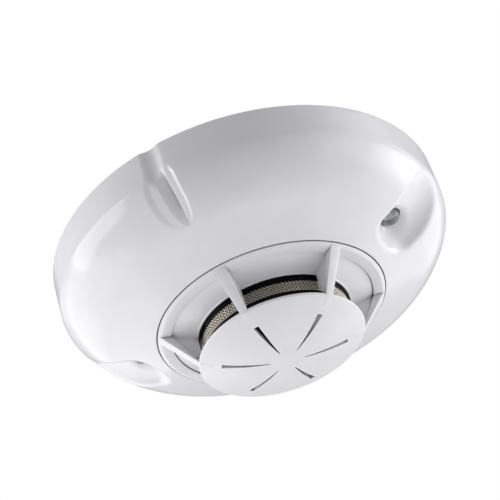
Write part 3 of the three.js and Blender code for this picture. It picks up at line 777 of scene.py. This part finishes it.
def dish_fin():
    """The web behind a rib, close against it. Its foot spreads into the floor of the dish."""
    half, spread, columns, rows = 0.65, 0.3, 24, 20
    inner, outer = 19.6, 25.4
    vertices = []
    for side in (-1, 1):
        for column in range(columns + 1):
            radius = inner + (outer - inner) * column / columns
            floor = dish_floor_at(radius) - 0.3
            crest = min(32.1 + (radius - inner) * 0.15, 24.8 + (25.72 - radius) / 0.575)
            crest = max(crest, floor + 0.35)
            for row in range(rows + 1):
                share = (row / rows) ** 2.2
                drop = floor + (crest - floor) * share
                height = max(drop - dish_floor_at(radius), 0)
                foot = spread - math.sqrt(spread ** 2 - max(spread - height, 0) ** 2)
                vertices.append((radius, side * (half + foot), drop))
    columns, rows = columns + 1, rows + 1
    faces = []
    for column in range(columns - 1):
        for row in range(rows - 1):
            first = column * rows + row
            faces.append((first, first + 1, first + rows + 1, first + rows))
            other = first + columns * rows
            faces.append((other, other + rows, other + rows + 1, other + 1))
    loop = [column * rows for column in range(columns)]
    loop += [(columns - 1) * rows + row for row in range(1, rows)]
    loop += [column * rows + rows - 1 for column in range(columns - 2, -1, -1)]
    loop += [row for row in range(rows - 2, 0, -1)]
    for here, ahead in zip(loop, loop[1:] + loop[:1]):
        faces.append((here, here + columns * rows, ahead + columns * rows, ahead))
    return make_mesh("fin", vertices, faces)


def inner_dish():
    """The ring round the mesh frame, with a fin behind each rib."""
    dish = turned("dish", rounded([
        (DISH_LIP[0], 16, 0.2), (DISH_LIP[0], DISH_LIP[1] + 0.18, 0.08), (19.62, DISH_LIP[1] + 0.18, 0.1),
        (19.75, dish_floor_at(19.75), 0.1), (*DISH_RIM, 0.15), (DISH_RIM[0], 19, 0.2), (24.2, 19, 0.2),
        (24.2, 23.7, 0), (20.6, 24.7, 0), (20.6, 16, 0.2),
    ], 6))
    join(dish, [turned_to(dish_fin(), azimuth) for azimuth in RIB_ANGLES])
    return dress(smooth(dish, 34), "cage", "cover_plastic", ["inner_dish"])


# ------------------------------------------------------------------ mesh and its frame

def mesh_frame():
    """Black stepped rings above and below the mesh, joined by six bars inside it."""
    stepped = turned("frame", rounded([
        (17.9, 24, 0), (19.1, 24, 0.1), (19.1, 26.8, 0.16), (18.92, 26.9, 0.02), (18.92, 27.3, 0.14),
        (18.72, 27.42, 0.02), (MESH_RADIUS, 27.6, 0.1), (MESH_RADIUS, 28.05, 0.15), (17.9, 28.05, 0.1),
    ], 5))
    lower = ring("lower", 17.9, MESH_RADIUS, MESH_BOTTOM + 0.1, 32.75, 0.18)
    bars = [sector("bar", 17.9, 18.3, azimuth, 3, 27.5, 32.5) for azimuth in RIB_ANGLES]
    join(stepped, [lower, *bars])
    stepped.name = "mesh_carrier"
    return dress(smooth(stepped), "cage", "frame_plastic", ["mesh_frame"])


def woven_mesh():
    """Two families of wires that run at 45 degrees round the ring, over and under each other."""
    middle = MESH_RADIUS - 0.15
    top, bottom = MESH_TOP - 0.1, MESH_BOTTOM + 0.1
    wires = round(2 * math.pi * middle / (WEAVE_PITCH * math.sqrt(2)))
    step_angle = 2 * math.pi / wires
    crossing = middle * step_angle / 2
    steps, sides = 4 * math.ceil((bottom - top) / crossing), 6
    depth = np.linspace(0, bottom - top, steps + 1)
    turn = np.arange(sides) * 2 * math.pi / sides
    vertices, faces = [], []
    for direction in (1, -1):
        wave = direction * WIRE_RADIUS * np.cos(math.pi * depth / crossing)
        for wire in range(wires):
            azimuth = wire * step_angle + direction * depth / middle
            radial = np.stack([np.cos(azimuth), np.sin(azimuth), 0 * azimuth], 1)
            around = np.stack([-np.sin(azimuth), np.cos(azimuth), 0 * azimuth], 1)
            across = (around - direction * np.array((0, 0, 1))) / math.sqrt(2)
            centre = radial * (middle + wave)[:, None] + np.outer(top + depth, (0, 0, 1))
            first = len(vertices) * sides * (steps + 1)
            circle = centre[:, None] + WIRE_RADIUS * (
                radial[:, None] * np.cos(turn)[:, None] + across[:, None] * np.sin(turn)[:, None]
            )
            vertices.append(circle.reshape(-1, 3))
            for row in range(steps):
                for side in range(sides):
                    a = first + row * sides + side
                    b = first + row * sides + (side + 1) % sides
                    faces.append((a, b, b + sides, a + sides))
            faces.append(tuple(first + side for side in range(sides - 1, -1, -1)))
            faces.append(tuple(first + steps * sides + side for side in range(sides)))
    mesh = make_mesh("woven_mesh", np.concatenate(vertices), faces)
    return dress(smooth(mesh, 60), "cage", "woven_steel", ["insect_mesh"])


# ------------------------------------------------------------------ indicator lamps

def indicator(azimuth, number):
    """A clear lamp with a flange."""
    shoulder = LED_TIP - LED_RADIUS
    dome = [
        (LED_RADIUS * math.cos(a), shoulder + LED_RADIUS * math.sin(a))
        for a in np.linspace(0, math.pi / 2, 16)
    ]
    flange = LED_RADIUS + 0.4
    outline = [(0, LED_TOP), (flange, LED_TOP), (flange, LED_TOP + 1), (LED_RADIUS, LED_TOP + 1.05), *dome]
    lens = turned("lens", outline, 64)
    lens.data.transform(Matrix.Translation((LED_OUT * MM, 0, 0)))
    turned_to(lens, azimuth)
    lens.name = f"lamp_lens_{number}"
    return dress(smooth(lens, 45), "head", "clear_lens", [f"indicator_led_{number}"])


def lamp_inside(azimuth, number):
    """A reflector cup on one lead and a flat post on the other."""
    cup = turned("cup", [(0, 13.4), (0.9, 13.4), (1.15, 14.6), (1.0, 14.6), (0.5, 13.9), (0, 13.9)], 32)
    anvil = prism("anvil", rectangle(0.25, 0, 1.5, 0.5), LED_TOP + 0.4, 13.6)
    flag = prism("flag", [(-1.5, 12.6), (-0.9, 11), (-1.5, 11), (-1.9, 12.6), (-1.9, 14.2), (-1.35, 14.2)],
                 -0.25, 0.25, upright=False)
    join(cup, [anvil, flag])
    cup.name = f"lamp_leads_{number}"
    cup.data.transform(Matrix.Translation((0, 0, -0.4 * MM)) @ Matrix.Rotation(math.radians(70), 4, "Z"))
    cup.data.transform(Matrix.Translation((LED_OUT * MM, 0, 0)))
    return dress(smooth(turned_to(cup, azimuth)), "head", "component_metal")


# ------------------------------------------------------------------ base and chassis

def base_plate():
    """The moulding on the ceiling: rim, cable collar, bayonet ledges, screw slots."""
    depth = drop_range("base_plate")[1]
    radius = reach("base_plate")
    body = turned("base", [
        (15, 0), (radius, 0), (radius, depth), (44.8, depth),
        (44.8, 1.8), (16.4, 1.8), (16.4, 4), (15, 4),
    ], 180)
    additions = []
    for azimuth in LUG_ANGLES:
        additions.append(sector("ledge", 42.3, 45.3, azimuth, 9, 4.4, depth))
        additions.append(sector("stop", 42.3, 45.3, azimuth + 9.9, 1.3, 1, depth, 3))
    join(body, additions)
    cutters = [turned_to(post("hole", 2, 30, 0, -1, 3), 63 + 90 * i) for i in range(4)]
    for azimuth in (90, 270):
        half = 2.6
        ends = [
            (30 + 3 * side + half * math.cos(a), half * math.sin(a))
            for side, start in ((1, -math.pi / 2), (-1, math.pi / 2))
            for a in np.linspace(start, start + math.pi, 17)
        ]
        cutters.append(turned_to(prism("fixing_slot", ends, -1, 3), azimuth))
    cut(body, cutters)
    bevel(body, 0.15, 50)
    body.name = "ceiling_base"
    return dress(smooth(body), "base", "base_plastic", ["base_plate"])


def head_chassis():
    """The head's back plate, with its bayonet wall and lugs."""
    top, bottom = 6.4, 8.2
    radius = reach("head_chassis")
    body = turned("chassis", [(0, top), (radius, top), (radius, bottom), (0, bottom)], 180)
    additions = [ring("wall", 40.4, 42, 2.4, top + 0.5, 0, 180)]
    for azimuth in LUG_ANGLES:
        additions.append(sector("lug", 41.6, 44.5, azimuth, 8, 2.4, 4.1))
    join(body, additions)
    cutters = []
    for azimuth in range(43, 403, 90):
        cutters.append(turned_to(prism("contact_slot", rectangle(28.1, 0, 1.2, 5.6), 5, 9), azimuth))
    for azimuth in COVER_SCREW_ANGLES:
        seat = turned("seat", [(0, 5), (2.9, 5), (2.9, top), (1.6, 7.7), (1.6, 9), (0, 9)], 32)
        seat.data.transform(Matrix.Translation((COVER_SCREW_RADIUS * MM, 0, 0)))
        cutters.append(turned_to(seat, azimuth))
    cut(body, cutters)
    bevel(body, 0.12, 50)
    body.name = "chassis_plate"
    return dress(smooth(body), "head", "base_plastic", ["head_chassis"])


# ------------------------------------------------------------------ stage

SURROUND_AS_SEEN = 1.0
SURROUND_AS_LIGHT = 0.245


def add_floor():
    """A pale floor well below the detector, which hangs as it does on a ceiling."""
    radius, drop = 3000, 900
    outline = [(radius * math.cos(a), radius * math.sin(a)) for a in np.linspace(0, 2 * np.pi, 97)[:-1]]
    floor = prism("floor", outline, drop, drop + 10)
    shader = Shader("floor_paint", (0.9, 0.9, 0.9), 0.8)
    mottle = shader.spread(shader.noise(80, 4), 0, 1, 0.3, 0.7)
    shader.feed("Base Color", shader.blend(mottle, (0.88, 0.88, 0.88), (0.92, 0.92, 0.92)))
    floor.data.materials.append(shader.material)


def add_softbox(name, azimuth, elevation, size, power, colour=(1, 1, 1), distance=1.0):
    """A square light at an azimuth and elevation as seen from the detector, facing it."""
    data = bpy.data.lights.new(name, "AREA")
    data.shape = "SQUARE"
    data.size = size
    data.energy = power
    data.color = colour
    light = bpy.data.objects.new(name, data)
    light.visible_camera = False
    bpy.context.scene.collection.objects.link(light)
    azimuth, elevation = math.radians(azimuth), math.radians(elevation)
    away = Vector((
        math.sin(azimuth) * math.cos(elevation),
        -math.cos(azimuth) * math.cos(elevation),
        math.sin(elevation),
    ))
    light.location = away * distance
    light.rotation_euler = (-away).to_track_quat("-Z", "Y").to_euler()


def add_surroundings():
    """A plain pale surround: white behind the object, softer as a light on it."""
    world = bpy.data.worlds.new("surround")
    bpy.context.scene.world = world
    world.use_nodes = True
    nodes, links = world.node_tree.nodes, world.node_tree.links
    background = nodes["Background"]
    background.inputs["Color"].default_value = (1, 1, 1, 1)
    path = nodes.new("ShaderNodeLightPath")
    level = nodes.new("ShaderNodeMapRange")
    level.inputs["To Min"].default_value = SURROUND_AS_LIGHT
    level.inputs["To Max"].default_value = SURROUND_AS_SEEN
    links.new(path.outputs["Is Camera Ray"], level.inputs["Value"])
    links.new(level.outputs["Result"], background.inputs["Strength"])


# ------------------------------------------------------------------ the scene

add_camera()
dome_cover()
protective_cage()
inner_dish()
mesh_frame()
woven_mesh()
for azimuth, number in ((SCOOP_AZIMUTH, 1), (SCOOP_AZIMUTH + 180, 2)):
    indicator(azimuth, number)
    lamp_inside(azimuth, number)
base_plate()
head_chassis()

for cad_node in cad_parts.values():
    slot = cad_node.material_slots[0]
    slot.material = finishes[slot.material.name]

add_floor()
add_softbox("right", 122, -2, 0.28, 0.6)
add_softbox("right_glow", 115, -4, 0.55, 1.8)
add_softbox("right_wide", 103, 6, 1.3, 5.5)
add_softbox("right_back", 142, -18, 1.2, 4.2)
add_softbox("left", -60, 8, 0.85, 5.8)
add_softbox("left_high", -90, 35, 1.2, 1.4)
add_softbox("left_back", -108, -27, 1.4, 7.2)
add_softbox("overhead", 0, 90, 2, 15.5, (0.92, 0.97, 1), 2.6)
add_surroundings()
bpy.context.scene.view_settings.view_transform = "Standard"
